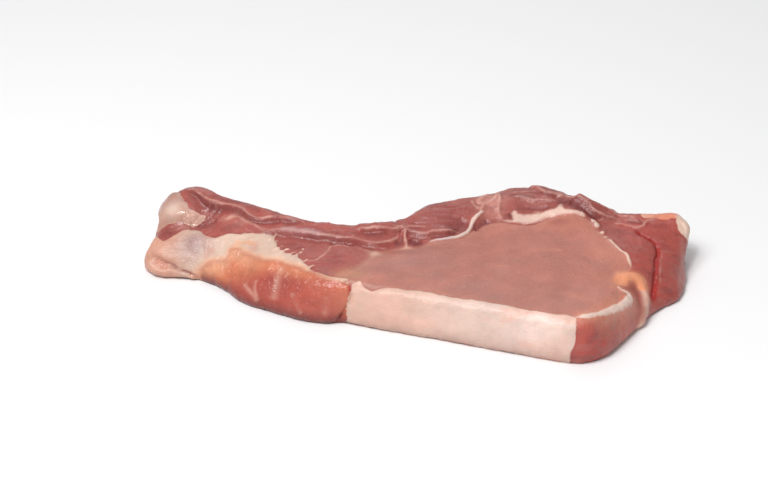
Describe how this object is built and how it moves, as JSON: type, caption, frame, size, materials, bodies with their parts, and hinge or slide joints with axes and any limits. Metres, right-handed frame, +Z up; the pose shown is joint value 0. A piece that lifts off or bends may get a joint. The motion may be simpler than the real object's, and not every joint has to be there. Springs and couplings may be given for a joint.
{
  "type": "raw pork chop",
  "caption": "Raw pork chop: pale loin eye with a band of back fat along its outer edge, darker rib meat with flank fat, and a rounded rib end.",
  "frame": {"origin": "middle of the chop's box in plan, on the surface it lies on", "axes": "+X along the chop from the rib end to the loin, +Z up through its thickness, -Y towards the edge with the back fat"},
  "size_m": [0.2009, 0.0932, 0.0231],
  "materials": {
    "lean_meat": "moist cut pork lean, pale pink eye, darker rib and cap muscles, satin to wet sheen",
    "back_fat": "firm cream-pink pork back fat, smooth, satin",
    "flank_fat": "soft cream flank fat that turns orange and then red towards the meat, satin",
    "rib_end": "wet pinkish-white cartilage and bone, glossy"
  },
  "bodies": {
    "root": {"lean_meat": "lean_meat", "back_fat": "back_fat", "flank_fat": "flank_fat", "rib_end": "rib_end"}
  },
  "joints": []
}
